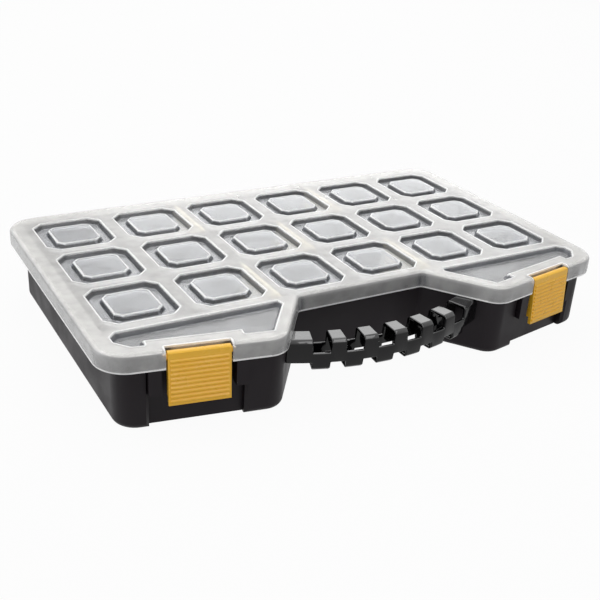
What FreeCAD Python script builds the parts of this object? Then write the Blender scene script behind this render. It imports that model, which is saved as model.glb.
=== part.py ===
import FreeCAD, Part
import math
import operator
import os
from types import SimpleNamespace

import Sketcher
from FreeCAD import Rotation, Vector

# Compartment box with a clear hinged lid, two snap latches and a carrying handle.
# X runs along the front, +Y to the hinges at the back, +Z up; millimetres throughout.
# The origin lies on the surface that the box stands on, under the middle of the cell grid.

SHEET = "Dims"

# Driving dimensions: name and value (millimetres, degrees or a count).
DIMENSIONS = (
    # cell grid
    ("columns", 6),
    ("rows", 3),
    ("cell_pitch", 63.0),
    ("partition", 1.6),
    # whole box
    ("total_height", 55.5),
    ("lobe_reach", 67.4),
    ("front_angle", 9.73),
    ("notch_half_width", 51.75),
    ("notch_angle", 36.0),
    # lid
    ("side_overhang", 9.8),
    ("back_overhang", 11.3),
    ("notch_overhang", 2.7),
    ("front_overhang", 3.6),
    ("skirt_height", 12.7),
    ("lid_plate", 2.2),
    ("lid_wall", 2.0),
    ("lid_gap", 0.3),
    ("lid_corner", 22.0),
    ("lobe_corner", 16.0),
    ("notch_corner", 4.0),
    ("lid_edge", 3.5),
    # recess over each cell, with its raised island
    ("recess_width", 52.0),
    ("recess_length", 53.5),
    ("recess_chamfer", 7.7),
    ("recess_depth", 3.8),
    ("recess_skin", 1.8),
    ("recess_slope", 31.0),
    ("island_size", 32.5),
    ("island_chamfer", 5.4),
    ("island_drop", 0.4),
    # recess over each front compartment
    ("lobe_recess_side", 13.0),
    ("lobe_recess_strip", 9.3),
    ("lobe_recess_front", 10.5),
    ("lobe_recess_notch", 9.5),
    ("lobe_recess_chamfer", 5.0),
    ("lobe_recess_turn", 8.0),
    ("latch_block_width", 62.0),
    ("latch_block_depth", 16.4),
    # tray
    ("tray_wall", 2.0),
    ("tray_floor", 2.0),
    ("tray_corner", 16.0),
    ("tray_lobe_corner", 14.0),
    ("bottom_edge", 4.5),
    ("foot_edge", 2.0),
    ("bay_width", 61.0),
    ("bay_depth", 9.8),
    ("rim_flange", 2.0),
    ("rim_gap", 0.6),
    ("ear_width", 8.0),
    ("ear_spacing", 55.0),
    ("ear_height", 17.4),
    ("catch_width", 28.0),
    ("catch_height", 3.0),
    ("catch_proud", 1.9),
    # removable dividers and their guides
    ("divider_thickness", 1.4),
    ("divider_slack", 0.3),
    ("divider_bead", 2.4),
    ("divider_bead_height", 2.0),
    ("divider_chamfer", 3.0),
    ("guide_width", 1.2),
    ("guide_proud", 1.6),
    ("guide_stop", 6.0),
    # latches
    ("latch_centre", 142.0),
    ("latch_width", 39.4),
    ("latch_side_gap", 1.0),
    ("latch_height", 36.0),
    ("latch_plate", 2.4),
    ("latch_lean", 4.0),
    ("latch_pin_drop", 5.0),
    ("latch_pin_setback", 2.6),
    ("latch_pin", 2.0),
    ("latch_barrel", 3.7),
    ("latch_swing_gap", 0.4),
    ("latch_rib_pitch", 3.0),
    ("latch_rib_count", 10),
    ("latch_rib_proud", 0.7),
    ("latch_rib_border", 1.4),
    ("latch_rib_margin", 1.6),
    ("latch_web", 1.6),
    ("latch_web_depth", 4.0),
    ("latch_nib_height", 2.4),
    ("latch_nib_gap", 0.3),
    ("pin_clearance", 0.05),
    # hinges
    ("hinge_spacing", 240.0),
    ("hinge_rise", 1.7),
    ("hinge_gap", 0.4),
    ("knuckle", 3.6),
    ("tray_knuckle_length", 20.0),
    ("lid_knuckle_length", 11.0),
    ("knuckle_gap", 0.5),
    ("hinge_pin", 1.5),
    ("arm_drop", 12.0),
    # handle
    ("handle_front", 149.0),
    ("handle_bow", 182.0),
    ("handle_depth", 17.0),
    ("handle_height", 22.8),
    ("handle_wall", 2.2),
    ("handle_gap", 0.4),
    ("handle_edge", 2.4),
    ("handle_pitch", 23.0),
    ("handle_block", 10.6),
    ("handle_block_height", 16.7),
    ("handle_link_height", 13.4),
    ("handle_blocks", 7),
)


class Size:
    """A number of the sheet, or one worked out from it, with the expression that gives it."""

    def __init__(self, value, text):
        self.value = value
        self.text = text

    def __add__(self, other):
        return joined(self, "+", other, operator.add)

    def __radd__(self, other):
        return joined(other, "+", self, operator.add)

    def __sub__(self, other):
        return joined(self, "-", other, operator.sub)

    def __rsub__(self, other):
        return joined(other, "-", self, operator.sub)

    def __mul__(self, other):
        return joined(self, "*", other, operator.mul)

    def __rmul__(self, other):
        return joined(other, "*", self, operator.mul)

    def __truediv__(self, other):
        return joined(self, "/", other, operator.truediv)

    def __rtruediv__(self, other):
        return joined(other, "/", self, operator.truediv)

    def __neg__(self):
        return joined(0, "-", self, operator.sub)


def sized(number):
    if isinstance(number, Size):
        return number
    return Size(number, repr(number))


def joined(first, sign, second, work):
    left = sized(first)
    right = sized(second)
    return Size(work(left.value, right.value), f"({left.text} {sign} {right.text})")


def sine(angle):
    return Size(math.sin(math.radians(angle.value)), f"sin({angle.text})")


def cosine(angle):
    return Size(math.cos(math.radians(angle.value)), f"cos({angle.text})")


def tangent(angle):
    return Size(math.tan(math.radians(angle.value)), f"tan({angle.text})")


def arc_angle(length, radius):
    """The angle, in degrees, that an arc of this length takes up at this radius."""
    return length / radius * (180 / math.pi)


doc = FreeCAD.newDocument("OrganizerBox")
sheet = doc.addObject("Spreadsheet::Sheet", SHEET)
dims = SimpleNamespace()
for row, (alias, number) in enumerate(DIMENSIONS, 1):
    sheet.set(f"A{row}", alias)
    sheet.set(f"B{row}", str(number))
    sheet.setAlias(f"B{row}", alias)
    setattr(dims, alias, Size(number, f"{SHEET}.{alias}"))
doc.recompute()

ZERO = Size(0, "0")
TOLERANCE = 1e-4

# Sizes that several pieces share.
grid_half_x = dims.columns * dims.cell_pitch / 2
grid_half_y = dims.rows * dims.cell_pitch / 2
tray_half = grid_half_x - dims.partition / 2 + dims.tray_wall
tray_back = grid_half_y - dims.partition / 2 + dims.tray_wall
lid_half = tray_half + dims.side_overhang
lid_back = tray_back + dims.back_overhang
notch_back = tray_back + dims.notch_overhang
front_apex = grid_half_y + dims.lobe_reach
lid_top = dims.total_height
lid_underside = lid_top - dims.lid_plate
skirt_bottom = lid_top - dims.skirt_height
rim_top = lid_underside - dims.lid_gap
front_slope = tangent(dims.front_angle)
notch_slope = tangent(dims.notch_angle)
pocket_width = dims.latch_width + 2 * dims.latch_side_gap
pocket_depth = dims.latch_pin_setback + dims.latch_barrel + dims.latch_swing_gap
latch_pin_z = lid_top - dims.latch_pin_drop
hinge_y = lid_back + dims.hinge_gap + dims.knuckle
hinge_z = skirt_bottom + dims.hinge_rise


def front_point(along, depth):
    """A point by the right front face: along it from the latch's middle, and behind it."""
    turn_x = cosine(dims.front_angle)
    turn_y = sine(dims.front_angle)
    x = dims.latch_centre + along * turn_x - depth * turn_y
    y = dims.latch_centre * front_slope - front_apex + along * turn_y + depth * turn_x
    return x, y


def lobe_inner_corner(front_inset, notch_inset):
    """Where the right lobe's front face meets its face beside the notch."""
    apex = front_apex - front_inset / cosine(dims.front_angle)
    start = dims.notch_half_width + notch_inset / cosine(dims.notch_angle)
    x = (start + notch_slope * (apex - notch_back)) / (1 + notch_slope * front_slope)
    return x, x * front_slope - apex


def box_outline(side, back, front, notch, bay, corner, lobe_corner, notch_corner):
    """Right half of the plan, set in from the lid's outer faces, with the points of a bay, if any."""
    half = lid_half - side
    apex = front_apex - front / cosine(dims.front_angle)
    notch_x = dims.notch_half_width + notch / cosine(dims.notch_angle) - notch * notch_slope
    return [
        (notch_x, notch - notch_back, notch_corner),
        (*lobe_inner_corner(front, notch), lobe_corner),
        *bay,
        (half, half * front_slope - apex, corner),
        (half, lid_back - back, corner),
    ]


def front_bay(width, start, end):
    """Points of a bay in the right front face, between two depths behind the lid's face."""
    half = width / 2
    return [front_point(-half, start), front_point(-half, end),
            front_point(half, end), front_point(half, start)]


def mirrored(points):
    return [(-x, *rest) for x, *rest in reversed(points)]


def whole(points):
    return points + mirrored(points)


def rectangle(left, front, right, back):
    return [(left, front), (right, front), (right, back), (left, back)]


def chamfered_rectangle(width, length, chamfer):
    x = width / 2
    y = length / 2
    corner = [(x - chamfer, -y), (x, chamfer - y), (x, y - chamfer), (x - chamfer, y)]
    return whole(corner)


def new_body(label):
    body = doc.addObject("PartDesign::Body", label)
    body.Label = label
    return body


def origin_feature(body, role):
    return next(item for item in body.Origin.OriginFeatures if item.Role == role)


def along(body, role):
    return origin_feature(body, role), [""]


def new_sketch(body, name, role="XY_Plane", offset=None, turn=None, axis=Vector(0, 1, 0)):
    """A sketch on one of the body's origin planes, moved and turned in the plane's own axes."""
    sketch = body.newObject("Sketcher::SketchObject", f"{body.Name}_{name}")
    sketch.AttachmentSupport = [(origin_feature(body, role), "")]
    sketch.MapMode = "FlatFace"
    if turn is not None:
        sketch.AttachmentOffset = FreeCAD.Placement(Vector(), Rotation(axis, turn.value))
        sketch.setExpression("AttachmentOffset.Rotation.Angle", turn.text)
    if offset is not None:
        for letter, size in zip("xyz", offset):
            sketch.setExpression(f"AttachmentOffset.Base.{letter}", size.text)
    return sketch


def at_height(height):
    return ZERO, ZERO, height


def hold_point(sketch, geometry, place, x, y):
    """Fix one point of a sketch at its sizes from the sketch's origin."""
    for kind, size in (("DistanceX", x), ("DistanceY", y)):
        constraint = Sketcher.Constraint(kind, -1, 1, geometry, place, size.value)
        index = sketch.addConstraint(constraint)
        sketch.setExpression(f"Constraints[{index}]", size.text)


def add_outline(sketch, points):
    """A closed outline, counter-clockwise, through (x, y) corners or (x, y, radius) rounded ones."""
    count = len(points)
    corners = [Vector(point[0].value, point[1].value, 0) for point in points]
    radii = [point[2] if len(point) == 3 else None for point in points]
    bends = [corner_arc(corners[i - 1], corners[i], corners[(i + 1) % count], radii[i])
             for i in range(count)]
    lines = [sketch.addGeometry(Part.LineSegment(bends[i].end, bends[(i + 1) % count].start))
             for i in range(count)]
    for i, point in enumerate(points):
        before = lines[i - 1]
        after = lines[i]
        if radii[i] is None:
            sketch.addConstraint(Sketcher.Constraint("Coincident", before, 2, after, 1))
            hold_point(sketch, after, 1, point[0], point[1])
            continue
        arc = sketch.addGeometry(bends[i].curve)
        first, last = (1, 2) if bends[i].left_turn else (2, 1)
        sketch.addConstraint(Sketcher.Constraint("Tangent", before, 2, arc, first))
        sketch.addConstraint(Sketcher.Constraint("Tangent", arc, last, after, 1))
        hold_radius(sketch, arc, radii[i])
        apex = sketch.addGeometry(Part.Point(corners[i]), True)
        hold_point(sketch, apex, 1, point[0], point[1])
        sketch.addConstraint(Sketcher.Constraint("PointOnObject", apex, 1, before))
        sketch.addConstraint(Sketcher.Constraint("PointOnObject", apex, 1, after))


def corner_arc(previous, corner, following, radius):
    """The arc that rounds a corner, with the points where it leaves the two sides."""
    if radius is None:
        return SimpleNamespace(start=corner, end=corner)
    back = (previous - corner).normalize()
    ahead = (following - corner).normalize()
    half = back.getAngle(ahead) / 2
    start = corner + back * (radius.value / math.tan(half))
    end = corner + ahead * (radius.value / math.tan(half))
    centre = corner + (back + ahead).normalize() * (radius.value / math.sin(half))
    left_turn = ahead.cross(back).z > 0
    spokes = [start - centre, end - centre]
    if not left_turn:
        spokes.reverse()
    circle = Part.Circle(centre, Vector(0, 0, 1), radius.value)
    curve = Part.ArcOfCircle(circle, *(math.atan2(spoke.y, spoke.x) for spoke in spokes))
    return SimpleNamespace(start=start, end=end, curve=curve, left_turn=left_turn)


def hold_radius(sketch, geometry, radius):
    index = sketch.addConstraint(Sketcher.Constraint("Radius", geometry, radius.value))
    sketch.setExpression(f"Constraints[{index}]", radius.text)


def add_circle(sketch, x, y, radius):
    centre = Vector(x.value, y.value, 0)
    circle = sketch.addGeometry(Part.Circle(centre, Vector(0, 0, 1), radius.value))
    hold_point(sketch, circle, 3, x, y)
    hold_radius(sketch, circle, radius)


def extrude(kind, sketch, length, reverse=False, centred=False, taper=None):
    """A Pad or Pocket of a sketch; it has to change the solid's volume."""
    body = sketch.getParentGeoFeatureGroup()
    before = volume(body)
    feature = body.newObject(f"PartDesign::{kind}", f"{sketch.Name}_{kind}")
    feature.Profile = sketch
    feature.AllowMultiFace = True
    feature.Reversed = reverse
    feature.Midplane = centred
    feature.setExpression("Length", length.text)
    if taper is not None:
        feature.setExpression("TaperAngle", taper.text)
    finish_feature(body, feature, before)
    return feature


def volume(body):
    if body.Shape.isNull():
        return 0
    return body.Shape.Volume


def finish_feature(body, feature, before):
    body.Tip = feature
    doc.recompute()
    if "Invalid" in feature.State or abs(volume(body) - before) < TOLERANCE:
        raise RuntimeError(f"{feature.Name} failed or changed nothing")


def turn_profile(kind, sketch, angle, centred=True, reverse=False):
    """A Revolution or Groove of a sketch about the body's own vertical axis."""
    body = sketch.getParentGeoFeatureGroup()
    before = volume(body)
    feature = body.newObject(f"PartDesign::{kind}", f"{sketch.Name}_{kind}")
    feature.Profile = sketch
    feature.ReferenceAxis = along(body, "Z_Axis")
    feature.Midplane = centred
    feature.Reversed = reverse
    feature.setExpression("Angle", angle.text)
    finish_feature(body, feature, before)
    return feature


def line_pattern(body, originals, spacings):
    """Copies of features, evenly spaced in a row, or in a grid with two directions."""
    before = volume(body)
    even = -1.0
    pattern = body.newObject("PartDesign::LinearPattern", f"{originals[0].Name}_row")
    pattern.Originals = originals
    for suffix, (direction, spacing, count) in zip(("", "2"), spacings):
        setattr(pattern, f"Direction{suffix}", direction)
        setattr(pattern, f"Mode{suffix}", "Spacing")
        setattr(pattern, f"Occurrences{suffix}", int(count.value))
        setattr(pattern, f"Spacings{suffix}", [even] * (int(count.value) - 1))
        pattern.setExpression(f"Offset{suffix}", spacing.text)
        pattern.setExpression(f"Occurrences{suffix}", count.text)
    finish_feature(body, pattern, before)
    return pattern


def mirror_copy(body, originals):
    """The same features on the other side of the box's middle plane."""
    before = volume(body)
    mirror = body.newObject("PartDesign::Mirrored", f"{originals[0].Name}_mirror")
    mirror.Originals = originals
    mirror.MirrorPlane = along(body, "YZ_Plane")
    finish_feature(body, mirror, before)
    return mirror


def round_edges(body, radius, wanted):
    """A fillet on every edge of the solid so far that the test accepts."""
    base = body.Tip
    names = [f"Edge{i}" for i, edge in enumerate(base.Shape.Edges, 1) if wanted(edge)]
    fillet = body.newObject("PartDesign::Fillet", f"{base.Name}_round")
    fillet.Base = (base, names)
    fillet.setExpression("Radius", radius.text)
    finish_feature(body, fillet, volume(body))
    return fillet


def level_at(height, skip):
    """Test for edges that lie level at a height, apart from those with both ends skipped."""

    def wanted(edge):
        box = edge.BoundBox
        if abs(box.ZMin - height.value) > TOLERANCE or box.ZLength > TOLERANCE:
            return False
        ends = [(abs(vertex.X), vertex.Y) for vertex in edge.Vertexes]
        skipped = [
            any(math.hypot(x - px.value, y - py.value) < TOLERANCE for px, py in skip)
            for x, y in ends
        ]
        return not all(skipped)

    return wanted


def make_lid():
    body = new_body("lid")

    # Block with the plan of the lid, rounded on top, then hollowed from below.
    pocket = front_bay(pocket_width, ZERO, pocket_depth)
    radii = (dims.lid_corner, dims.lobe_corner, dims.notch_corner)
    sketch = new_sketch(body, "plan", offset=at_height(skirt_bottom))
    add_outline(sketch, whole(box_outline(ZERO, ZERO, ZERO, ZERO, pocket, *radii)))
    extrude("Pad", sketch, dims.skirt_height)
    round_edges(body, dims.lid_edge, level_at(lid_top, pocket))

    wall = dims.lid_wall
    pocket = front_bay(pocket_width + 2 * wall, wall, pocket_depth + wall)
    radii = (dims.lid_corner - wall, dims.lobe_corner - wall, dims.notch_corner + wall)
    sketch = new_sketch(body, "hollow", offset=at_height(skirt_bottom))
    add_outline(sketch, whole(box_outline(wall, wall, wall, wall, pocket, *radii)))
    extrude("Pocket", sketch, dims.skirt_height - dims.lid_plate, reverse=True)

    make_lid_knuckles(body)
    make_latch_holes(body)
    make_lobe_recesses(body)
    make_cell_recesses(body)
    return body


def make_cell_recesses(body):
    """A sloping moat round a raised island over every cell, with a skin of even thickness."""
    slope = tangent(dims.recess_slope)
    slant = 1 / cosine(dims.recess_slope)
    floor = lid_top - dims.recess_depth
    under_floor = floor - dims.recess_skin
    island_height = dims.recess_depth - dims.island_drop
    centre_x = dims.cell_pitch / 2 - grid_half_x
    centre_y = dims.cell_pitch / 2 - grid_half_y
    shell_grow = 2 * (dims.recess_skin * slant - dims.lid_plate * slope)
    island_base = dims.island_size + 2 * island_height * slope
    hollow_height = island_height + dims.recess_skin - dims.lid_plate
    hollow_base = island_base + 2 * (dims.recess_skin * slope - dims.recess_skin * slant)

    def cell_sketch(name, height, width, length, chamfer):
        sketch = new_sketch(body, name, offset=(centre_x, centre_y, height))
        add_outline(sketch, chamfered_rectangle(width, length, chamfer))
        return sketch

    inward = -dims.recess_slope
    shell = cell_sketch("recess_shell", lid_underside, dims.recess_width + shell_grow,
                        dims.recess_length + shell_grow, dims.recess_chamfer)
    features = [extrude("Pad", shell, lid_underside - under_floor, reverse=True, taper=inward)]
    recess = cell_sketch("recess", lid_top, dims.recess_width, dims.recess_length, dims.recess_chamfer)
    features.append(extrude("Pocket", recess, dims.recess_depth, taper=inward))
    island = cell_sketch("island", floor, island_base, island_base, dims.island_chamfer)
    features.append(extrude("Pad", island, island_height, taper=inward))
    hollow = cell_sketch("island_hollow", under_floor, hollow_base, hollow_base, dims.island_chamfer)
    features.append(extrude("Pocket", hollow, hollow_height, reverse=True, taper=inward))
    line_pattern(body, features, ((along(body, "X_Axis"), dims.cell_pitch, dims.columns),
                                  (along(body, "Y_Axis"), dims.cell_pitch, dims.rows)))


def lobe_recess_outline(grow):
    """Plan of the right front recess, grown outwards; it steps back behind the latch pocket."""
    side = lid_half - dims.lobe_recess_side + grow
    back = dims.recess_length / 2 + dims.lobe_recess_strip - dims.cell_pitch / 2 + grid_half_y - grow
    front = dims.lobe_recess_front - grow
    notch = dims.lobe_recess_notch - grow
    step = dims.latch_block_depth - grow
    apex = front_apex - front / cosine(dims.front_angle)
    notch_start = dims.notch_half_width + notch / cosine(dims.notch_angle)
    notch_x = notch_start + notch_slope * (back - notch_back)
    half_block = dims.latch_block_width / 2 - grow
    chamfer = dims.lobe_recess_chamfer
    turn = dims.lobe_recess_turn
    corner_y = side * front_slope - apex
    return [
        (notch_x + chamfer, -back),
        (notch_x + chamfer * notch_slope, -back - chamfer),
        lobe_inner_corner(front, notch),
        front_point(-half_block, front),
        front_point(-half_block, step),
        front_point(half_block, step),
        front_point(half_block, front),
        (side - turn, corner_y - turn * front_slope),
        (side, corner_y + turn),
        (side, -back - chamfer),
        (side - chamfer, -back),
    ]


def make_lobe_recesses(body):
    slope = tangent(dims.recess_slope)
    under_floor = lid_top - dims.recess_depth - dims.recess_skin
    shell_grow = dims.recess_skin / cosine(dims.recess_slope) - dims.lid_plate * slope
    inward = -dims.recess_slope
    sketch = new_sketch(body, "lobe_shell", offset=at_height(lid_underside))
    add_outline(sketch, lobe_recess_outline(shell_grow))
    shell = extrude("Pad", sketch, lid_underside - under_floor, reverse=True, taper=inward)
    sketch = new_sketch(body, "lobe_recess", offset=at_height(lid_top))
    add_outline(sketch, lobe_recess_outline(ZERO))
    recess = extrude("Pocket", sketch, dims.recess_depth, taper=inward)
    mirror_copy(body, [shell, recess])


def make_latch_holes(body):
    """Bores for the latch pins, through both side walls of each latch pocket."""
    sketch = new_sketch(body, "pin_bores", "YZ_Plane", turn=dims.front_angle, offset=latch_plane())
    add_circle(sketch, dims.latch_pin_setback, latch_pin_z, dims.latch_pin + dims.pin_clearance)
    length = pocket_width + 2 * dims.lid_wall + 2 * dims.latch_swing_gap
    bores = extrude("Pocket", sketch, length, centred=True)
    mirror_copy(body, [bores])


def latch_plane():
    """Offset, in a YZ sketch's own axes, to the right latch's middle on the lid's front face."""
    x, y = front_point(ZERO, ZERO)
    return y, ZERO, x


def make_lid_knuckles(body):
    """Two knuckles at each hinge, on a web from the skirt, with a gap for the tray's own between."""
    gap = dims.tray_knuckle_length + 2 * dims.knuckle_gap
    length = gap + 2 * dims.lid_knuckle_length
    middle = dims.hinge_spacing / 2
    inside = lid_back - dims.lid_wall / 2
    reach = dims.knuckle - dims.pin_clearance
    web = [
        (inside, skirt_bottom),
        (lid_back, skirt_bottom),
        (hinge_y, hinge_z - reach),
        (hinge_y, hinge_z + reach),
        (inside, lid_top - dims.lid_edge),
    ]
    sketch = new_sketch(body, "web", "YZ_Plane", offset=at_height(middle))
    add_outline(sketch, web)
    features = [extrude("Pad", sketch, length, centred=True)]
    sketch = new_sketch(body, "knuckles", "YZ_Plane", offset=at_height(middle))
    add_circle(sketch, hinge_y, hinge_z, dims.knuckle)
    features.append(extrude("Pad", sketch, length, centred=True))
    sketch = new_sketch(body, "bores", "YZ_Plane", offset=at_height(middle))
    add_circle(sketch, hinge_y, hinge_z, dims.hinge_pin + dims.pin_clearance)
    features.append(extrude("Pocket", sketch, length, centred=True))
    sketch = new_sketch(body, "knuckle_gap")
    add_outline(sketch, rectangle(middle - gap / 2, lid_back, middle + gap / 2, hinge_y + dims.knuckle))
    features.append(extrude("Pocket", sketch, lid_top, reverse=True))
    mirror_copy(body, features)


def make_tray():
    body = new_body("tray")
    overhangs = (dims.side_overhang, dims.back_overhang, dims.front_overhang, dims.notch_overhang)

    # Outer form, the two latch bays in its front, then the cavity.
    radii = (dims.tray_corner, dims.tray_lobe_corner, dims.notch_corner)
    sketch = new_sketch(body, "plan")
    add_outline(sketch, whole(box_outline(*overhangs, [], *radii)))
    extrude("Pad", sketch, rim_top)
    round_edges(body, dims.bottom_edge, level_at(ZERO, []))
    edge = dims.foot_edge
    mouth = front_bay(dims.bay_width + 2 * edge, ZERO, dims.front_overhang)
    throat = front_bay(dims.bay_width, dims.front_overhang + edge, dims.bay_depth)
    bay = [*mouth[2:], *mouth[:2], *throat]
    sketch = new_sketch(body, "bays")
    add_outline(sketch, bay)
    add_outline(sketch, mirrored(bay))
    extrude("Pocket", sketch, rim_top, reverse=True)

    wall = dims.tray_wall
    insets = [overhang + wall for overhang in overhangs]
    bay = front_bay(dims.bay_width + 2 * wall, dims.front_overhang + wall, dims.bay_depth + wall)
    radii = (dims.tray_corner - wall, dims.tray_lobe_corner - wall, dims.notch_corner + wall)
    sketch = new_sketch(body, "cavity", offset=at_height(dims.tray_floor))
    add_outline(sketch, whole(box_outline(*insets, bay, *radii)))
    extrude("Pocket", sketch, rim_top - dims.tray_floor, reverse=True)

    # The wall behind each latch stops under the lid's front recess.
    clear = dims.lid_gap
    lowered = dims.recess_depth + dims.recess_skin - dims.lid_plate
    half = dims.bay_width / 2 + wall + clear
    relief = [
        front_point(-half, dims.bay_depth - clear),
        front_point(half, dims.bay_depth - clear),
        front_point(half, dims.bay_depth + wall + clear),
        front_point(-half, dims.bay_depth + wall + clear),
    ]
    sketch = new_sketch(body, "relief", offset=at_height(rim_top))
    add_outline(sketch, relief)
    add_outline(sketch, mirrored(relief))
    extrude("Pocket", sketch, lowered)

    make_tray_knuckles(body)
    make_latch_ears(body)
    make_rim_flange(body)
    make_tray_partitions(body)
    return body


def row_faces():
    """Y of the wall faces at the front and back of every row of cells."""
    half_cell = (dims.cell_pitch - dims.partition) / 2
    count = int(dims.rows.value)
    for row in range(count):
        centre = dims.cell_pitch * (row + 0.5) - grid_half_y
        yield centre - half_cell, centre + half_cell


def make_tray_partitions(body):
    """Fixed walls between the rows, walls that close off the lobes, and the divider guides."""
    height = rim_top - dims.tray_floor
    reach = tray_half - dims.tray_wall / 2
    lobe_wall_front = -tray_back
    sketch = new_sketch(body, "lobe_walls", offset=at_height(dims.tray_floor))
    add_outline(sketch, rectangle(-reach, lobe_wall_front, reach, lobe_wall_front + dims.tray_wall))
    extrude("Pad", sketch, height)

    first = dims.cell_pitch - grid_half_y
    half = dims.partition / 2
    sketch = new_sketch(body, "partition", offset=at_height(dims.tray_floor))
    add_outline(sketch, rectangle(-reach, first - half, reach, first + half))
    partition = extrude("Pad", sketch, height)
    line_pattern(body, [partition], ((along(body, "Y_Axis"), dims.cell_pitch, dims.rows - 1),))

    column = dims.cell_pitch - grid_half_x
    inner = dims.divider_thickness / 2 + dims.divider_slack
    outer = inner + dims.guide_width
    root = half / 2
    sketch = new_sketch(body, "guides", offset=at_height(dims.tray_floor))
    for front, back in row_faces():
        for left, right in ((column - outer, column - inner), (column + inner, column + outer)):
            add_outline(sketch, rectangle(left, front - root, right, front + dims.guide_proud))
            add_outline(sketch, rectangle(left, back - dims.guide_proud, right, back + root))
    guides = extrude("Pad", sketch, height - dims.guide_stop)
    line_pattern(body, [guides], ((along(body, "X_Axis"), dims.cell_pitch, dims.columns - 1),))


def make_rim_flange(body):
    """Flange round the sides and back of the rim, inside the lid's skirt."""
    inset = dims.lid_wall + dims.rim_gap
    side = lid_half - inset
    back = lid_back - inset
    root_side = tray_half - dims.tray_wall / 2
    root_back = tray_back - dims.tray_wall / 2
    end = -grid_half_y
    sketch = new_sketch(body, "flange", offset=at_height(rim_top - dims.rim_flange))
    corner = (side, back, dims.lid_corner - inset)
    add_outline(sketch, whole([(root_side, root_back), (root_side, end), (side, end), corner]))
    extrude("Pad", sketch, dims.rim_flange)


def make_latch_ears(body):
    """Guard blocks either side of each latch, and the rib that its nib snaps under."""
    depth = dims.bay_depth + dims.tray_wall / 2
    top = skirt_bottom - dims.lid_gap
    sketch = new_sketch(body, "ears", offset=at_height(top - dims.ear_height))
    for sign in (-1, 1):
        middle = sign * dims.ear_spacing / 2
        low = middle - dims.ear_width / 2
        high = middle + dims.ear_width / 2
        add_outline(sketch, [front_point(low, ZERO), front_point(high, ZERO),
                             front_point(high, depth), front_point(low, depth)])
    ears = extrude("Pad", sketch, dims.ear_height)

    half = dims.catch_width / 2
    proud = dims.bay_depth - dims.catch_proud
    sketch = new_sketch(body, "catch", offset=at_height(catch_z()))
    add_outline(sketch, [front_point(-half, proud), front_point(half, proud),
                         front_point(half, depth), front_point(-half, depth)])
    catch = extrude("Pad", sketch, dims.catch_height)
    mirror_copy(body, [ears, catch])


def latch_bottom_z():
    return latch_pin_z - dims.latch_height + dims.latch_barrel


def catch_z():
    return latch_bottom_z() + dims.latch_rib_pitch + dims.latch_nib_height + dims.lid_gap


def make_tray_knuckles(body):
    """The tray's knuckle at each hinge, on an arm that passes under the lid's skirt."""
    place = at_height(dims.hinge_spacing / 2)
    root = tray_back - dims.tray_wall / 2
    under = skirt_bottom - dims.lid_gap
    low = hinge_z - dims.knuckle
    sketch = new_sketch(body, "arm", "YZ_Plane", offset=place)
    add_outline(sketch, [
        (root, under),
        (hinge_y, under),
        (hinge_y + dims.knuckle / 2, low + dims.pin_clearance + dims.hinge_gap),
        (hinge_y, low - dims.hinge_rise),
        (root, low - dims.arm_drop),
    ])
    arm = extrude("Pad", sketch, dims.tray_knuckle_length, centred=True)
    sketch = new_sketch(body, "knuckle", "YZ_Plane", offset=place)
    add_circle(sketch, hinge_y, hinge_z, dims.knuckle)
    knuckle = extrude("Pad", sketch, dims.tray_knuckle_length, centred=True)
    sketch = new_sketch(body, "bore", "YZ_Plane", offset=place)
    add_circle(sketch, hinge_y, hinge_z, dims.hinge_pin + dims.pin_clearance)
    bore = extrude("Pocket", sketch, dims.tray_knuckle_length, centred=True)
    mirror_copy(body, [arm, knuckle, bore])


def make_hinge_pin(label, sign):
    body = new_body(label)
    length = dims.tray_knuckle_length + 2 * (dims.lid_knuckle_length + dims.knuckle_gap)
    sketch = new_sketch(body, "section", "YZ_Plane")
    add_circle(sketch, ZERO, ZERO, dims.hinge_pin)
    extrude("Pad", sketch, length, centred=True)
    place(body, sign * dims.hinge_spacing / 2, hinge_y, hinge_z)
    return body


def place(body, x, y, z):
    for letter, size in zip("xyz", (x, y, z)):
        body.setExpression(f"Placement.Base.{letter}", size.text)


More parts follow.
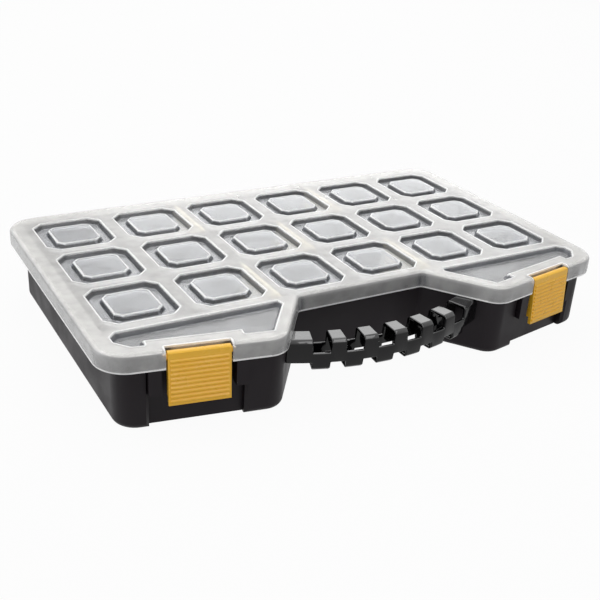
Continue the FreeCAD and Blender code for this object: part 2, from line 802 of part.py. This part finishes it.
def make_latch(label, sign):
    """A latch about its own pin axis, which is local X; its face, to -Y, leans out at the foot."""
    body = new_body(label)
    lean = dims.latch_lean
    face = -dims.latch_pin_setback
    back = face + dims.latch_plate
    bottom = dims.latch_barrel - dims.latch_height

    def leaning_sketch(name, points, offset=ZERO):
        sketch = new_sketch(body, name, "YZ_Plane", at_height(offset), -lean, Vector(0, 0, 1))
        add_outline(sketch, points)
        return sketch

    # Barrel round the pin, the plate, and the flat that carries the face up over the barrel.
    sketch = new_sketch(body, "barrel", "YZ_Plane")
    add_circle(sketch, ZERO, ZERO, dims.latch_barrel)
    extrude("Pad", sketch, dims.latch_width, centred=True)
    sketch = leaning_sketch("plate", rectangle(face, bottom, back, ZERO))
    extrude("Pad", sketch, dims.latch_width, centred=True)
    ahead = -2 * dims.latch_barrel
    sketch = leaning_sketch("flat", rectangle(ahead, ahead, face, dims.latch_barrel))
    extrude("Pocket", sketch, dims.latch_width, centred=True)

    # Ribs across the face, within a narrow border.
    low = bottom + dims.latch_rib_margin
    proud = face - dims.latch_rib_proud
    quarter = dims.latch_rib_pitch / 4
    sketch = leaning_sketch("rib", [
        (face + dims.latch_plate / 2, low),
        (face, low),
        (proud, low + quarter),
        (proud, low + 2 * quarter),
        (face, low + 3 * quarter),
        (face + dims.latch_plate / 2, low + 3 * quarter),
    ])
    rib = extrude("Pad", sketch, dims.latch_width - 2 * dims.latch_rib_border, centred=True)
    line_pattern(body, [rib], (((sketch, ["V_Axis"]), dims.latch_rib_pitch, dims.latch_rib_count),))

    # Stiffening webs and the nib behind the plate, and the moulded pin.
    nib_low = bottom + dims.latch_rib_pitch
    nib_high = nib_low + dims.latch_nib_height
    reach = dims.bay_depth - dims.catch_proud - dims.latch_nib_gap - dims.latch_pin_setback
    nib_tip = (reach - nib_high * sine(lean)) / cosine(lean)
    inside = back - dims.latch_plate / 2
    sketch = leaning_sketch("web", [
        (inside, nib_high),
        (inside + dims.latch_web_depth, nib_high),
        (dims.latch_barrel / 2, ZERO),
        (inside, ZERO),
    ], (dims.latch_width - dims.latch_web) / 2)
    web = extrude("Pad", sketch, dims.latch_web, centred=True)
    mirror_copy(body, [web])
    sketch = leaning_sketch("nib", [
        (inside, nib_low),
        (nib_tip - dims.latch_nib_height / 2, nib_low),
        (nib_tip, nib_high),
        (inside, nib_high),
    ])
    extrude("Pad", sketch, dims.catch_width, centred=True)
    sketch = new_sketch(body, "pin", "YZ_Plane")
    add_circle(sketch, ZERO, ZERO, dims.latch_pin)
    extrude("Pad", sketch, pocket_width + 2 * dims.lid_wall, centred=True)

    x, y = front_point(ZERO, dims.latch_pin_setback)
    place(body, sign * x, y, latch_pin_z)
    body.Placement.Rotation = Rotation(Vector(0, 0, 1), sign * dims.front_angle.value)
    body.setExpression("Placement.Rotation.Angle", (sign * dims.front_angle).text)
    return body


def make_handle():
    """A bowed channel whose roof and floor are cut away by turns, so that it reads as teeth."""
    body = new_body("carry_handle")
    top = skirt_bottom - dims.handle_gap
    bottom = top - dims.handle_height
    front = -dims.handle_bow
    back = front + dims.handle_depth
    wall = dims.handle_wall
    corner_x, _ = lobe_inner_corner(dims.front_overhang, dims.notch_overhang)
    reach = corner_x / (dims.handle_bow - dims.handle_depth)
    sweep = Size(2 * math.degrees(math.asin(reach.value)), f"(2 * asin({reach.text}) / 1 deg)")

    edge = dims.handle_edge
    sketch = new_sketch(body, "section", "YZ_Plane")
    add_outline(sketch, [
        (front + edge, bottom),
        (back - edge, bottom),
        (back, bottom + edge),
        (back, top - edge),
        (back - edge, top),
        (front + edge, top),
        (front, top - edge),
        (front, bottom + edge),
    ])
    turn_profile("Revolution", sketch, sweep)
    sketch = new_sketch(body, "channel", "YZ_Plane")
    add_outline(sketch, rectangle(front + wall, bottom + wall, back - wall, top - wall))
    turn_profile("Groove", sketch, sweep)

    # Openings in the roof between the blocks, and in the floor under them.
    pitch = arc_angle(dims.handle_pitch, dims.handle_bow)
    block = arc_angle(dims.handle_block, dims.handle_bow)
    link = pitch - block
    outside = front - wall
    inside = back + wall
    roof = rectangle(outside, bottom + dims.handle_link_height, inside, top + wall)
    floor = rectangle(outside, bottom - wall, inside, top - dims.handle_block_height)
    links = dims.handle_blocks - 1
    cut_teeth(body, "roof", roof, link, pitch, links)
    cut_teeth(body, "floor", floor, block, pitch, links - 1)
    end_start = links * pitch / 2 - block / 2
    end_angle = sweep / 2 - end_start
    sketch = new_sketch(body, "end_floor", "YZ_Plane", turn=end_start + end_angle / 2)
    add_outline(sketch, floor)
    ends = turn_profile("Groove", sketch, end_angle)
    mirror_copy(body, [ends])

    # Both ends stop on the lobes' walls.
    setback = dims.handle_bow - dims.handle_front
    start = dims.notch_half_width + dims.notch_overhang / cosine(dims.notch_angle)
    near = -notch_back - setback
    far = -front_apex - setback
    far_x = start + notch_slope * (front_apex - notch_back)
    beyond = lid_half
    sketch = new_sketch(body, "ends")
    side = [(start, near), (far_x, far), (beyond, far), (beyond, near)]
    add_outline(sketch, side)
    add_outline(sketch, mirrored(side))
    extrude("Pocket", sketch, lid_top, reverse=True)
    place(body, ZERO, setback, ZERO)
    return body


def cut_teeth(body, name, profile, angle, pitch, count):
    """Equal cuts in a row round the bow, the row centred on the middle of the handle."""
    first = -(count - 1) * pitch / 2
    sketch = new_sketch(body, name, "YZ_Plane", turn=first)
    add_outline(sketch, profile)
    cut = turn_profile("Groove", sketch, angle)
    before = volume(body)
    pattern = body.newObject("PartDesign::PolarPattern", f"{cut.Name}_row")
    pattern.Originals = [cut]
    pattern.Axis = along(body, "Z_Axis")
    pattern.Mode = "Spacing"
    pattern.setExpression("Offset", pitch.text)
    pattern.setExpression("Occurrences", count.text)
    finish_feature(body, pattern, before)


def make_divider(label, column, row):
    """A loose plate across one row of cells, thickened along its top edge."""
    body = new_body(label)
    half = (dims.cell_pitch - dims.partition) / 2 - dims.divider_slack
    height = rim_top - dims.tray_floor
    chamfer = dims.divider_chamfer
    sketch = new_sketch(body, "plate", "YZ_Plane")
    add_outline(sketch, [
        (chamfer - half, ZERO),
        (half - chamfer, ZERO),
        (half, chamfer),
        (half, height),
        (-half, height),
        (-half, chamfer),
    ])
    extrude("Pad", sketch, dims.divider_thickness, centred=True)
    bead_end = half - 2 * dims.guide_proud
    sketch = new_sketch(body, "bead", "YZ_Plane")
    add_outline(sketch, rectangle(-bead_end, height - dims.divider_bead_height, bead_end, height))
    extrude("Pad", sketch, dims.divider_bead, centred=True)
    x = dims.cell_pitch * column - grid_half_x
    y = dims.cell_pitch * (row + 0.5) - grid_half_y
    place(body, x, y, dims.tray_floor)
    return body


# Loose dividers: name, guide position counted in columns from the left, and row from the front.
DIVIDERS = (
    ("divider_back_left", 2, 2),
    ("divider_back_right", 4, 2),
    ("divider_middle", 3, 1),
    ("divider_front_left", 2, 0),
    ("divider_front_right", 4, 0),
)

pieces = [
    make_tray(),
    make_lid(),
    make_latch("latch_left", -1),
    make_latch("latch_right", 1),
    make_handle(),
    make_hinge_pin("hinge_pin_left", -1),
    make_hinge_pin("hinge_pin_right", 1),
]
for label, column, row in DIVIDERS:
    pieces.append(make_divider(label, column, row))
doc.recompute()

for item in doc.Objects:
    if "Invalid" in item.State or "Error" in item.State:
        raise RuntimeError(f"{item.Name} failed: {item.State}")
for piece in pieces:
    if piece.Shape.isNull() or not piece.Shape.isValid() or len(piece.Shape.Solids) != 1:
        raise RuntimeError(f"{piece.Label} is not one valid solid")

os.makedirs("parts", exist_ok=True)
for piece in pieces:
    piece.Shape.exportStep(f"parts/{piece.Label}.step")
    box = piece.Shape.BoundBox
    print(f"{piece.Label}: {piece.Shape.Volume / 1000:.2f} cm3, "
          f"x {box.XMin:.2f} {box.XMax:.2f}, y {box.YMin:.2f} {box.YMax:.2f}, "
          f"z {box.ZMin:.2f} {box.ZMax:.2f}")
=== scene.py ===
import math

import bpy
from mathutils import Matrix, Vector


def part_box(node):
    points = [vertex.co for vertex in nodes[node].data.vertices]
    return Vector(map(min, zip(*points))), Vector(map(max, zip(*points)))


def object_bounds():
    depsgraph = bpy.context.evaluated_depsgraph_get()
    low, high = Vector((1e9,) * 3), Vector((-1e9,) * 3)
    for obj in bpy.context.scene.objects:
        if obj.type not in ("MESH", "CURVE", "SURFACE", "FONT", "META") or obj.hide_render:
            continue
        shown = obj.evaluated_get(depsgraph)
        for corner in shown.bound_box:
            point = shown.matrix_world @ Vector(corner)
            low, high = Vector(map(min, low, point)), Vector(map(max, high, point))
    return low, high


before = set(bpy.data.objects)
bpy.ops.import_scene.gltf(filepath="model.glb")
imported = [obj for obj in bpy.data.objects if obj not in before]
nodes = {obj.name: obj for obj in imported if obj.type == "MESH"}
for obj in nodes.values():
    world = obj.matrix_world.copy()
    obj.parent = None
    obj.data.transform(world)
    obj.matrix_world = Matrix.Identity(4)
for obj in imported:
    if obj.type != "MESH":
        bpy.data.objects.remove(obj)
cad_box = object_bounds()

# Lid pattern, in metres: the cells' pitch, the half sizes of the recess over each cell, how far its cut
# corners lie from its middle along X and Y together, and the half sizes of the grid.
CELL = 0.063
RECESS_HALF = (0.0262, 0.0270)
RECESS_CORNER = 0.0455
GRID_HALF = (0.189, 0.0945)

# Lid levels, in metres below its top: each pair is where the mask of its underside, its sunk fields or
# its skirt starts and is full. Then the skirt's height and the width of the white lip along its lower edge,
# which carries a painted highlight.
LID_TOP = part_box("lid")[1].z
UNDERSIDE_LEVELS = (0.0005, 0.001)
FIELD_LEVELS = (0.0028, 0.0034)
SKIRT_LEVELS = (0.0035, 0.0095)
SKIRT_HEIGHT = 0.0127
LIP_HIGHLIGHT_WIDTH = 0.002

# Milky plastic: the clear share of its top, hollows and skirt, how far clouds in it change that share,
# and how far in metres its white corners with their painted highlight and the painted shade in its recesses
# reach.
CLEAR_TOP = 0.66
CLEAR_HOLLOW = 0.93
CLEAR_SKIRT = 0.69
CLOUDS = 0.05
CORNER_HIGHLIGHT_REACH = 0.0016
RECESS_SHADE_REACH = 0.008

# Limits of masks on the lid: a face's upward normal where it is flat and where it looks down no more,
# and the share of free rays where a white corner's painted highlight or a recess's painted shade ends.
FLAT_LIMITS = (0.6, 0.95)
UPWARD_LIMITS = (-0.6, -0.2)
CORNER_HIGHLIGHT_LIMITS = (0.84, 0.99)
RECESS_SHADE_LIMITS = (0.85, 0.98)

# Handle: painted sheen, a clear coat on its upward faces only: the upward normals between which the coat
# grows, and the coat at both.
HANDLE_SHEEN_LIMITS = (0.3, 0.9)
HANDLE_TOP_SHEEN = (0.15, 1.0)

# Softened edges: widths in metres, the number of steps across them, and the angles in degrees under
# which faces are one flat and over which an edge is softened.
EDGE_WIDTH = 0.0004
HANDLE_EDGE_WIDTH = 0.0009
DIVIDER_EDGE_WIDTH = 0.0002
EDGE_STEPS = 2
HANDLE_EDGE_STEPS = 3
WELD_DISTANCE = 1e-6
FLAT_ANGLE = 0.5
EDGE_ANGLE = 25

# Camera: the photograph's view, in degrees and metres, with its focal length in pixels.
CAMERA_PLACE = (-0.3388, -0.5778, 0.3264)
CAMERA_AZIMUTH = -30.9715
CAMERA_ELEVATION = 26.1541
CAMERA_ROLL = 3.5908
FOCAL_PIXELS = 917.2748
IMAGE_WIDTH = 600
SENSOR_WIDTH = 36.0

WHITE = (1.0, 1.0, 1.0, 1.0)

# Floor: its colour, the share of it that shows plain white, and in metres its half width and how far it
# lies under the box.
FLOOR_COLOR = (0.6, 0.6, 0.6, 1.0)
FLOOR_GLOW = 0.95
FLOOR_REACH = 6.0
FLOOR_DROP = 0.0002

# Light: the way that the surroundings are brightest, and their levels.
WORLD_BRIGHT = (-0.5, 0.5, 1.0)
WORLD_LOW = 0.05
WORLD_HIGH = 0.6

# Softboxes: place and width in metres, power in watts.
SOFTBOXES = {
    "overhead": ((0.0, 0.7, 1.5), 1.6, 9.5),
    "back": ((0.95, 1.55, 0.95), 1.3, 6.5),
    "left": ((-1.6, 0.5, 0.7), 1.8, 12.0),
    "front": ((0.3, -1.3, 1.6), 1.0, 6.5),
}

# The part of a noise texture's range that most of it lies in.
NOISE_RANGE = (0.3, 0.7)


def linear(red, green, blue):
    """A colour seen in the photograph, as the shader wants it."""
    def channel(value):
        part = value / 255
        return part / 12.92 if part <= 0.04045 else ((part + 0.055) / 1.055) ** 2.4
    return (channel(red), channel(green), channel(blue), 1.0)


class Nodes:
    """A material's or world's node tree, with short calls for the nodes used here."""

    def __init__(self, owner):
        self.owner = owner
        owner.use_nodes = True
        self.tree = owner.node_tree
        self.tree.nodes.clear()
        self.coords = self.add("ShaderNodeTexCoord").outputs["Object"]

    def add(self, kind, **settings):
        node = self.tree.nodes.new(kind)
        for key, value in settings.items():
            setattr(node, key, value)
        return node

    def feed(self, socket, value):
        if isinstance(value, bpy.types.NodeSocket):
            self.tree.links.new(value, socket)
        else:
            socket.default_value = value

    def math(self, operation, first, second=0.0):
        node = self.add("ShaderNodeMath", operation=operation)
        self.feed(node.inputs[0], first)
        self.feed(node.inputs[1], second)
        return node.outputs[0]

    def both(self, first, second):
        return self.math("MULTIPLY", first, second)

    def opposite(self, value):
        return self.math("SUBTRACT", 1.0, value)

    def noise(self, scale, detail=3.0, stretch=(1.0, 1.0, 1.0)):
        mapping = self.add("ShaderNodeMapping")
        mapping.inputs["Scale"].default_value = stretch
        self.feed(mapping.inputs["Vector"], self.coords)
        node = self.add("ShaderNodeTexNoise")
        node.inputs["Scale"].default_value = scale
        node.inputs["Detail"].default_value = detail
        self.feed(node.inputs["Vector"], mapping.outputs[0])
        return node.outputs["Fac"]

    def spread(self, value, low, high, to_low=0.0, to_high=1.0):
        """A value between two limits, smoothly stretched to two others."""
        node = self.add("ShaderNodeMapRange", interpolation_type="SMOOTHSTEP")
        self.feed(node.inputs["Value"], value)
        for key, number in (("From Min", low), ("From Max", high), ("To Min", to_low), ("To Max", to_high)):
            node.inputs[key].default_value = number
        return node.outputs["Result"]

    def vary(self, noise, low, high):
        """A noise, stretched to run between two limits."""
        return self.spread(noise, *NOISE_RANGE, low, high)

    def blend(self, factor, first, second):
        """A mix of two colours. The node has sockets for other kinds of value before those for colours."""
        node = self.add("ShaderNodeMix", data_type="RGBA")
        self.feed(node.inputs[0], factor)
        self.feed(node.inputs[6], first)
        self.feed(node.inputs[7], second)
        return node.outputs[2]

    def within(self, distance, reach, fade=0.002):
        """1 nearer than the reach, fading to 0 over its last stretch."""
        return self.spread(distance, reach - fade, reach, 1.0, 0.0)

    def free_rays(self, reach, inside=False):
        """The share of rays from the surface that meet nothing of the same piece within the reach."""
        node = self.add("ShaderNodeAmbientOcclusion", inside=inside, only_local=True, samples=8)
        node.inputs["Distance"].default_value = reach
        return node.outputs["AO"]

    def split(self, vector):
        node = self.add("ShaderNodeSeparateXYZ")
        self.feed(node.inputs[0], vector)
        return node.outputs

    def upward(self):
        """How far up the surface faces in the piece's own frame, from -1 to 1."""
        return self.split(self.add("ShaderNodeTexCoord").outputs["Normal"])["Z"]

    def bump(self, height, strength, distance):
        node = self.add("ShaderNodeBump")
        node.inputs["Strength"].default_value = strength
        node.inputs["Distance"].default_value = distance
        self.feed(node.inputs["Height"], height)
        return node.outputs[0]

    def surface(self, color, roughness, normal, **sockets):
        """Finish a material with the common shader; further sockets are named with underscores."""
        shader = self.add("ShaderNodeBsdfPrincipled")
        self.feed(shader.inputs["Base Color"], color)
        self.feed(shader.inputs["Roughness"], roughness)
        self.feed(shader.inputs["Normal"], normal)
        for key, value in sockets.items():
            self.feed(shader.inputs[key.replace("_", " ")], value)
        self.finish(shader.outputs[0])
        return self.owner

    def white_rays(self):
        """1 on rays that show the background plain white: those seen, mirrored or let through."""
        paths = self.add("ShaderNodeLightPath").outputs
        shown = self.math("MAXIMUM", paths["Is Camera Ray"], paths["Is Glossy Ray"])
        return self.math("MAXIMUM", shown, paths["Is Transmission Ray"])

    def finish(self, shader, output="ShaderNodeOutputMaterial"):
        self.feed(self.add(output).inputs["Surface"], shader)


def lid_material():
    """Milky plastic: pale on top, clearer over the hollows, with painted shade on steep faces in its
    recesses, and white at its edges, where it is opaque and carries a painted highlight.
    """
    tree = Nodes(bpy.data.materials.new("milky_plastic"))
    place = tree.split(tree.coords)
    up = tree.upward()
    half = CELL / 2
    off_x = tree.math("SUBTRACT", half, tree.math("PINGPONG", place["X"], half))
    off_y = tree.math("PINGPONG", place["Y"], half)
    over_cell = tree.both(tree.within(off_x, RECESS_HALF[0]), tree.within(off_y, RECESS_HALF[1]))
    over_cell = tree.both(over_cell, tree.within(tree.math("ADD", off_x, off_y), RECESS_CORNER))
    in_grid = tree.both(*(tree.math("LESS_THAN", tree.math("ABSOLUTE", place[letter]), reach)
                          for letter, reach in zip("XY", GRID_HALF)))
    over_cell = tree.both(over_cell, in_grid)
    depth = tree.math("SUBTRACT", LID_TOP, place["Z"])
    flat = tree.spread(up, *FLAT_LIMITS)
    hollow = tree.math("MAXIMUM", over_cell, tree.both(flat, tree.spread(depth, *FIELD_LEVELS)))
    skirt = tree.spread(depth, *SKIRT_LEVELS)
    between = tree.both(in_grid, tree.opposite(over_cell))
    under_strip = tree.both(between, tree.spread(depth, *UNDERSIDE_LEVELS))

    # Rays sent inwards soon leave the plastic where it turns an outer corner; rays sent out meet the
    # lid again in its recesses. The corners along the top and the skirt's lower edge are made opaque and
    # white, partly for thicker plastic and partly as a painted highlight; steep faces in the recesses get
    # painted shade.
    middle = SKIRT_HEIGHT / 2
    from_middle = tree.math("ABSOLUTE", tree.math("SUBTRACT", depth, middle))
    # Painted highlight: outer corners and the skirt's lip turn white and opaque, partly for thicker
    # plastic.
    edge = tree.spread(tree.free_rays(CORNER_HIGHLIGHT_REACH, inside=True), *CORNER_HIGHLIGHT_LIMITS, 1.0, 0.0)
    edge = tree.both(edge, tree.spread(from_middle, middle - LIP_HIGHLIGHT_WIDTH, middle - LIP_HIGHLIGHT_WIDTH / 2))
    sunk = tree.spread(tree.free_rays(RECESS_SHADE_REACH), *RECESS_SHADE_LIMITS, 1.0, 0.0)
    painted_recess_shade = tree.both(tree.both(sunk, tree.opposite(flat)), tree.spread(up, *UPWARD_LIMITS))

    clear = tree.spread(hollow, 0.0, 1.0, CLEAR_TOP, CLEAR_HOLLOW)
    clear = tree.math("ADD", tree.both(clear, tree.opposite(skirt)), tree.both(CLEAR_SKIRT, skirt))
    clear = tree.math("ADD", clear, tree.vary(tree.noise(70.0, detail=5.0), -CLOUDS, CLOUDS))
    clear = tree.both(tree.math("MAXIMUM", clear, under_strip), tree.opposite(edge))
    color = tree.blend(tree.noise(9.0), linear(246, 245, 242), linear(250, 249, 247))
    color = tree.blend(hollow, color, linear(240, 242, 245))
    # Painted shade: steep faces in the recesses darken to grey.
    color = tree.blend(painted_recess_shade, color, linear(130, 133, 140))
    # Painted highlight: the white edges.
    color = tree.blend(edge, color, WHITE)
    rough = tree.vary(tree.noise(60.0), 0.2, 0.27)
    normal = tree.bump(tree.noise(45.0, detail=2.0), strength=0.03, distance=0.001)

    # The clear share lets light through to the compartments.
    shadow = tree.add("ShaderNodeLightPath").outputs["Is Shadow Ray"]
    solid = tree.opposite(tree.both(shadow, clear))
    return tree.surface(color, rough, normal, IOR=1.49, Specular_IOR_Level=0.2,
                        Transmission_Weight=clear, Alpha=solid)


def tray_material():
    """Black plastic with a fine spark-eroded texture."""
    tree = Nodes(bpy.data.materials.new("black_textured_plastic"))
    color = tree.blend(tree.noise(18.0), linear(19, 14, 18), linear(25, 19, 24))
    rough = tree.vary(tree.noise(40.0), 0.42, 0.54)
    normal = tree.bump(tree.noise(2600.0, detail=2.0), strength=0.12, distance=0.0002)
    return tree.surface(color, rough, normal, IOR=1.49, Specular_IOR_Level=0.2)


def handle_material():
    """Black plastic, smoother than the tray, a little uneven from moulding, with a painted sheen: a glossy
    coat on its upward faces only, so its tops shine and its fronts stay dark.
    """
    tree = Nodes(bpy.data.materials.new("black_smooth_plastic"))
    color = tree.blend(tree.noise(25.0), linear(11, 10, 12), linear(17, 16, 18))
    rough = tree.vary(tree.noise(90.0), 0.1, 0.18)
    normal = tree.bump(tree.noise(170.0, detail=2.0), strength=0.12, distance=0.001)
    # Painted sheen: the clear coat only on upward faces lights up the tops.
    top_sheen = tree.spread(tree.upward(), *HANDLE_SHEEN_LIMITS, *HANDLE_TOP_SHEEN)
    return tree.surface(color, rough, normal, IOR=1.5, Specular_IOR_Level=0.12,
                        Coat_Weight=top_sheen, Coat_IOR=1.8, Coat_Roughness=0.05, Coat_Normal=normal)


def latch_material():
    """Yellow plastic with faint flow marks down the latch."""
    tree = Nodes(bpy.data.materials.new("yellow_plastic"))
    flow = tree.noise(160.0, stretch=(1.0, 1.0, 0.25))
    color = tree.blend(flow, linear(248, 188, 46), linear(251, 196, 54))
    rough = tree.vary(tree.noise(120.0), 0.26, 0.36)
    normal = tree.bump(tree.noise(900.0, detail=2.0), strength=0.06, distance=0.0002)
    return tree.surface(color, rough, normal, IOR=1.5)


def divider_material():
    """Pale plastic sheet."""
    tree = Nodes(bpy.data.materials.new("pale_plastic"))
    color = tree.blend(tree.noise(20.0), linear(240, 226, 186), linear(248, 238, 208))
    rough = tree.vary(tree.noise(80.0), 0.35, 0.45)
    normal = tree.bump(tree.noise(900.0, detail=2.0), strength=0.06, distance=0.0002)
    return tree.surface(color, rough, normal, IOR=1.49)


def pin_material():
    """Drawn steel wire, scored along its length."""
    tree = Nodes(bpy.data.materials.new("steel_wire"))
    score = tree.noise(300.0, stretch=(0.05, 1.0, 1.0))
    color = tree.blend(score, linear(150, 150, 152), linear(186, 186, 188))
    rough = tree.vary(score, 0.25, 0.4)
    normal = tree.bump(score, strength=0.1, distance=0.0001)
    return tree.surface(color, rough, normal, Metallic=1.0)


def floor_material():
    """White floor: plain white to the camera, but for the object's soft shadow."""
    tree = Nodes(bpy.data.materials.new("floor"))
    diffuse = tree.add("ShaderNodeBsdfDiffuse")
    diffuse.inputs["Color"].default_value = FLOOR_COLOR
    glow = tree.add("ShaderNodeEmission")
    glow.inputs["Color"].default_value = WHITE
    mix = tree.add("ShaderNodeMixShader")
    tree.feed(mix.inputs[0], tree.both(tree.white_rays(), FLOOR_GLOW))
    tree.feed(mix.inputs[1], diffuse.outputs[0])
    tree.feed(mix.inputs[2], glow.outputs[0])
    tree.finish(mix.outputs[0])
    return tree.owner


def dress(node, material, edge=None, steps=EDGE_STEPS):
    """Give a CAD node its material and, with an edge width, soften its sharp edges."""
    piece = nodes[node]
    piece.data.materials.clear()
    piece.data.materials.append(material)
    if edge is None:
        return
    weld = piece.modifiers.new("weld", "WELD")
    weld.merge_threshold = WELD_DISTANCE
    flats = piece.modifiers.new("flats", "DECIMATE")
    flats.decimate_type = "DISSOLVE"
    flats.angle_limit = math.radians(FLAT_ANGLE)
    bevel = piece.modifiers.new("edges", "BEVEL")
    bevel.width = edge
    bevel.segments = steps
    bevel.limit_method = "ANGLE"
    bevel.angle_limit = math.radians(EDGE_ANGLE)
    bevel.harden_normals = True


def dress_all():
    yellow = latch_material()
    pale = divider_material()
    steel = pin_material()
    dress("lid", lid_material(), EDGE_WIDTH)
    dress("tray", tray_material(), EDGE_WIDTH)
    dress("carry_handle", handle_material(), HANDLE_EDGE_WIDTH, HANDLE_EDGE_STEPS)
    for name in sorted(nodes):
        if name.startswith("latch_"):
            dress(name, yellow)
        elif name.startswith("divider_"):
            dress(name, pale, DIVIDER_EDGE_WIDTH)
        elif name.startswith("hinge_pin_"):
            dress(name, steel)


def make_floor():
    mesh = bpy.data.meshes.new("floor")
    corners = [(x * FLOOR_REACH, y * FLOOR_REACH, 0) for x, y in ((-1, -1), (1, -1), (1, 1), (-1, 1))]
    mesh.from_pydata(corners, [], [(0, 1, 2, 3)])
    mesh.materials.append(floor_material())
    floor = bpy.data.objects.new("floor", mesh)
    floor.location.z = cad_box[0].z - FLOOR_DROP
    bpy.context.scene.collection.objects.link(floor)


def make_world():
    """White where it is seen; as light, bright overhead and behind, dim in front."""
    tree = Nodes(bpy.data.worlds.new("studio"))
    facing = tree.add("ShaderNodeVectorMath", operation="DOT_PRODUCT")
    tree.feed(facing.inputs[0], tree.add("ShaderNodeTexCoord").outputs["Generated"])
    facing.inputs[1].default_value = Vector(WORLD_BRIGHT).normalized()
    level = tree.spread(facing.outputs["Value"], -1.0, 1.0, WORLD_LOW, WORLD_HIGH)
    background = tree.add("ShaderNodeBackground")
    background.inputs["Color"].default_value = WHITE
    tree.feed(background.inputs["Strength"], tree.math("MAXIMUM", level, tree.white_rays()))
    tree.finish(background.outputs[0], "ShaderNodeOutputWorld")
    bpy.context.scene.world = tree.owner


def make_light(name, place, width, power):
    """A square softbox aimed at the middle of the box."""
    data = bpy.data.lights.new(name, "AREA")
    data.size = width
    data.energy = power
    light = bpy.data.objects.new(name, data)
    light.location = place
    middle = (cad_box[0] + cad_box[1]) / 2
    light.rotation_euler = (middle - Vector(place)).to_track_quat("-Z", "Y").to_euler()
    bpy.context.scene.collection.objects.link(light)


def make_camera():
    azimuth = math.radians(CAMERA_AZIMUTH)
    elevation = math.radians(CAMERA_ELEVATION)
    level = math.cos(elevation)
    back = Vector((math.sin(azimuth) * level, -math.cos(azimuth) * level, math.sin(elevation)))
    turn = back.to_track_quat("Z", "Y").to_matrix().to_4x4()
    roll = Matrix.Rotation(math.radians(CAMERA_ROLL), 4, "Z")
    data = bpy.data.cameras.new("camera")
    data.sensor_width = SENSOR_WIDTH
    data.lens = FOCAL_PIXELS * SENSOR_WIDTH / IMAGE_WIDTH
    camera = bpy.data.objects.new("camera", data)
    camera.matrix_world = Matrix.Translation(CAMERA_PLACE) @ turn @ roll
    bpy.context.scene.collection.objects.link(camera)
    bpy.context.scene.camera = camera


dress_all()
make_floor()
make_world()
for name, (place, width, power) in SOFTBOXES.items():
    make_light(name, place, width, power)
make_camera()
bpy.context.scene.view_settings.view_transform = "Standard"
